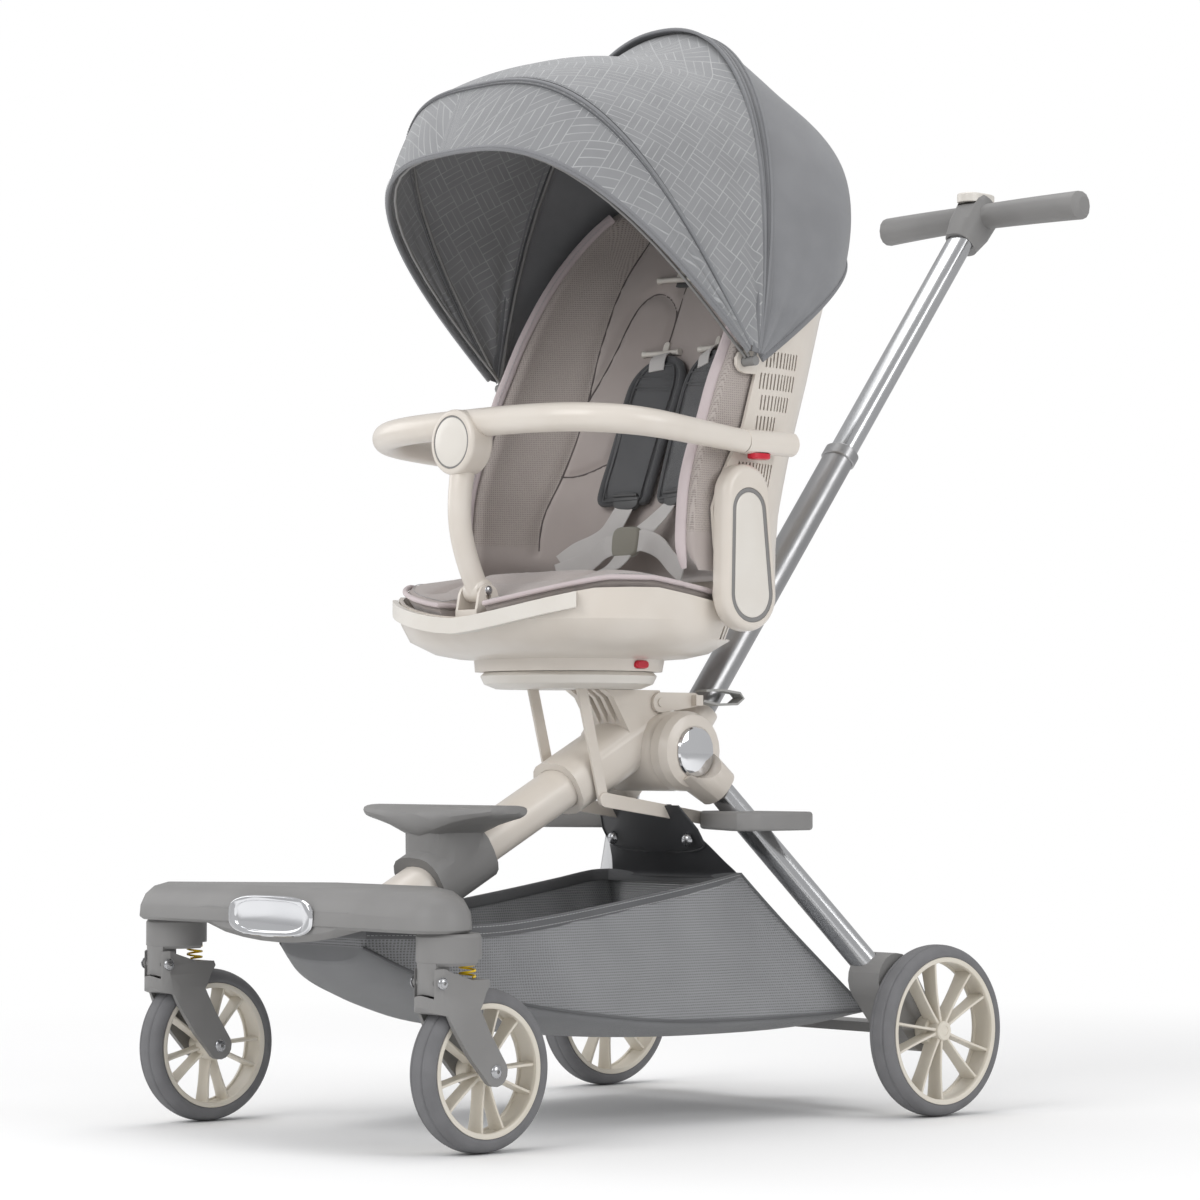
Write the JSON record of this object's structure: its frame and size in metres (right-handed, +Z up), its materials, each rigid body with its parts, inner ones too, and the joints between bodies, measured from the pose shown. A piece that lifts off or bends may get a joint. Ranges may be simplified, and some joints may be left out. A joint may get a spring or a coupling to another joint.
{
  "type": "pushchair",
  "caption": "Four-wheel pushchair with spoked wheels, sprung swivel casters, a folding rear frame, a telescopic handle, and a reversible reclining seat with a folding canopy.",
  "frame": {"origin": "middle of the overall box in X and Y, on the floor under the tyres", "axes": "+Z up, -Y towards the front wheels, +X towards the side of the near wheels"},
  "size_m": [0.533, 1.0389, 1.1313],
  "materials": {
    "cream_plastic": "satin cream paint on plastic",
    "cream_paint": "satin cream paint on an aluminium tube",
    "off_white_plastic": "satin off-white plastic",
    "grey_plastic": "fine-grained grey plastic",
    "tyre_rubber": "grey foam rubber, two fine grooves",
    "polished_aluminium": "polished aluminium tube",
    "chrome_plate": "bright chrome plate",
    "yellow_spring_steel": "yellow coated spring wire",
    "red_plastic": "red release buttons",
    "canopy_cloth": "woven grey hood cloth with fine pale lines",
    "seat_cloth": "padded greige cloth",
    "strap_webbing": "woven webbing and padded sleeves",
    "basket_net": "grey mesh with a bound hem"
  },
  "bodies": {
    "chassis": {"front_deck": "grey_plastic", "deck_trim": "chrome_plate", "front_tube": "cream_paint", "foot_saddle": "grey_plastic", "hub_core": "cream_plastic", "turntable": "off_white_plastic", "handle_outer_tube": "polished_aluminium", "basket": "basket_net"},
    "caster_l": {"caster_housing_l": "grey_plastic"},
    "caster_r": {"caster_housing_r": "grey_plastic"},
    "fork_l": {"fork_l": "grey_plastic", "suspension_spring_l": "yellow_spring_steel"},
    "fork_r": {"fork_r": "grey_plastic", "suspension_spring_r": "yellow_spring_steel"},
    "front_wheel_l": {"front_tyre_l": "tyre_rubber", "front_rim_l": "cream_plastic"},
    "front_wheel_r": {"front_tyre_r": "tyre_rubber", "front_rim_r": "cream_plastic"},
    "rear_frame": {"hub_arm_l": "cream_plastic", "hub_arm_r": "cream_plastic", "hub_insert_l": "chrome_plate", "hub_insert_r": "chrome_plate", "rear_leg_l": "polished_aluminium", "rear_leg_r": "polished_aluminium", "axle_beam": "grey_plastic", "foot_pedal_l": "grey_plastic", "foot_pedal_r": "grey_plastic"},
    "rear_wheel_l": {"rear_tyre_l": "tyre_rubber", "rear_rim_l": "cream_plastic"},
    "rear_wheel_r": {"rear_tyre_r": "tyre_rubber", "rear_rim_r": "cream_plastic"},
    "brake": {"brake_pedal": "grey_plastic"},
    "fold_link": {"fold_link": "cream_plastic"},
    "drag_link": {"drag_link_l": "cream_plastic", "drag_link_r": "cream_plastic"},
    "fold_lever": {"fold_lever": "cream_plastic", "pull_strap": "strap_webbing"},
    "handle": {"handle_tube": "polished_aluminium", "handle_grip": "grey_plastic"},
    "handle_button": {"handle_button": "off_white_plastic"},
    "seat": {"seat_bowl": "cream_plastic", "seat_cushion": "seat_cloth"},
    "turn_button": {"turn_button": "red_plastic"},
    "leg_rest": {"leg_rest": "off_white_plastic"},
    "bumper": {"bumper_bar": "cream_plastic", "bumper_post": "cream_plastic", "bumper_cap": "off_white_plastic"},
    "backrest": {"back_shell": "cream_plastic", "side_cover_l": "cream_plastic", "side_cover_r": "cream_plastic", "back_cushion": "seat_cloth", "harness": "strap_webbing", "canopy_cloth_rear": "canopy_cloth"},
    "bumper_button_l": {"bumper_button_l": "red_plastic"},
    "bumper_button_r": {"bumper_button_r": "red_plastic"},
    "canopy_mid": {"canopy_hoop_mid": "grey_plastic", "canopy_cloth_mid": "canopy_cloth"},
    "canopy_top": {"canopy_hoop_top": "grey_plastic", "canopy_cloth_front": "canopy_cloth"},
    "canopy_front": {"canopy_hoop_front": "grey_plastic"}
  },
  "joints": [
    {"name": "caster_swivel_l", "type": "hinge", "parent": "chassis", "child": "caster_l", "pos_m": [0.213, -0.47268, 0.205], "axis": [0, 0, 1], "continuous": true},
    {"name": "caster_swivel_r", "type": "hinge", "parent": "chassis", "child": "caster_r", "pos_m": [-0.213, -0.47268, 0.205], "axis": [0, 0, 1], "continuous": true},
    {"name": "suspension_l", "type": "hinge", "parent": "caster_l", "child": "fork_l", "pos_m": [0.213, -0.49568, 0.16], "axis": [1, 0, 0], "range_deg": [0, 6], "stiffness_Nm_per_rad": 40, "springref_deg": -6.88, "deforming": ["suspension_spring_l"]},
    {"name": "suspension_r", "type": "hinge", "parent": "caster_r", "child": "fork_r", "pos_m": [-0.213, -0.49568, 0.16], "axis": [1, 0, 0], "range_deg": [0, 6], "stiffness_Nm_per_rad": 40, "springref_deg": -6.88, "deforming": ["suspension_spring_r"]},
    {"name": "front_wheel_spin_l", "type": "hinge", "parent": "fork_l", "child": "front_wheel_l", "pos_m": [0.213, -0.43518, 0.0767], "axis": [1, 0, 0], "continuous": true},
    {"name": "front_wheel_spin_r", "type": "hinge", "parent": "fork_r", "child": "front_wheel_r", "pos_m": [-0.213, -0.43518, 0.0767], "axis": [1, 0, 0], "continuous": true},
    {"name": "rear_fold", "type": "hinge", "parent": "chassis", "child": "rear_frame", "pos_m": [0, -0.02268, 0.373], "axis": [1, 0, 0], "range_deg": [-50, 0], "deforming": ["basket"]},
    {"name": "rear_wheel_spin_l", "type": "hinge", "parent": "rear_frame", "child": "rear_wheel_l", "pos_m": [0.251, 0.14532, 0.0875], "axis": [1, 0, 0], "continuous": true},
    {"name": "rear_wheel_spin_r", "type": "hinge", "parent": "rear_frame", "child": "rear_wheel_r", "pos_m": [-0.251, 0.14532, 0.0875], "axis": [1, 0, 0], "continuous": true},
    {"name": "brake_press", "type": "hinge", "parent": "rear_frame", "child": "brake", "pos_m": [0, 0.16932, 0.1015], "axis": [1, 0, 0], "range_deg": [-15, 0]},
    {"name": "fold_link_pivot", "type": "hinge", "parent": "chassis", "child": "fold_link", "pos_m": [0, -0.15168, 0.4415], "axis": [1, 0, 0], "range_deg": [-32.5, 0]},
    {"name": "drag_link_pivot", "type": "hinge", "parent": "fold_link", "child": "drag_link", "pos_m": [0, -0.12068, 0.323], "axis": [1, 0, 0], "range_deg": [0, 27]},
    {"name": "fold_lever_pull", "type": "hinge", "parent": "chassis", "child": "fold_lever", "pos_m": [0, -0.03668, 0.4235], "axis": [1, 0, 0], "range_deg": [0, 30], "stiffness_Nm_per_rad": 0.5, "springref_deg": -17.19},
    {"name": "handle_slide", "type": "slide", "parent": "chassis", "child": "handle", "axis": [0, -0.6115, -0.7912], "range_m": [0, 0.15]},
    {"name": "handle_button_press", "type": "slide", "parent": "handle", "child": "handle_button", "axis": [0, -0.0145, -0.9999], "range_m": [0, 0.0025], "stiffness_N_per_m": 900, "springref_m": -0.002},
    {"name": "seat_turn", "type": "hinge", "parent": "chassis", "child": "seat", "pos_m": [0, -0.13468, 0.4535], "axis": [0, 0, 1], "range_deg": [0, 180]},
    {"name": "turn_button_press", "type": "slide", "parent": "seat", "child": "turn_button", "axis": [-0.9816, -0.1908, 0], "range_m": [0, 0.0022], "stiffness_N_per_m": 700, "springref_m": -0.002},
    {"name": "leg_rest_slide", "type": "slide", "parent": "seat", "child": "leg_rest", "axis": [0, 1, 0], "range_m": [-0.06, 0]},
    {"name": "bumper_swing", "type": "hinge", "parent": "seat", "child": "bumper", "pos_m": [0, -0.25668, 0.528], "axis": [-1, 0, 0], "range_deg": [-65, 0]},
    {"name": "recline", "type": "hinge", "parent": "seat", "child": "backrest", "pos_m": [0, -0.06968, 0.53], "axis": [1, 0, 0], "range_deg": [-18, 0]},
    {"name": "bumper_release_l", "type": "slide", "parent": "backrest", "child": "bumper_button_l", "axis": [0, 0, 1], "range_m": [0, 0.0018], "stiffness_N_per_m": 700, "springref_m": -0.002},
    {"name": "bumper_release_r", "type": "slide", "parent": "backrest", "child": "bumper_button_r", "axis": [0, 0, 1], "range_m": [0, 0.0018], "stiffness_N_per_m": 700, "springref_m": -0.002},
    {"name": "canopy_fold_mid", "type": "hinge", "parent": "backrest", "child": "canopy_mid", "pos_m": [0, -0.05968, 0.765], "axis": [1, 0, 0], "range_deg": [-29.6, 0], "deforming": ["canopy_cloth_rear"]},
    {"name": "canopy_fold_top", "type": "hinge", "parent": "canopy_mid", "child": "canopy_top", "pos_m": [0, -0.05968, 0.765], "axis": [1, 0, 0], "range_deg": [-37, 0], "deforming": ["canopy_cloth_mid"]},
    {"name": "canopy_fold_front", "type": "hinge", "parent": "canopy_top", "child": "canopy_front", "pos_m": [0, -0.05968, 0.765], "axis": [1, 0, 0], "range_deg": [-6.3, 0], "deforming": ["canopy_cloth_front"]}
  ],
  "couplings": [
    {"joint": "fold_link_pivot", "follows": "rear_fold", "ratio": 0.65},
    {"joint": "drag_link_pivot", "follows": "rear_fold", "ratio": -0.54},
    {"joint": "canopy_fold_mid", "follows": "canopy_fold_top", "ratio": 0.8},
    {"joint": "canopy_fold_front", "follows": "canopy_fold_top", "ratio": 0.17}
  ]
}
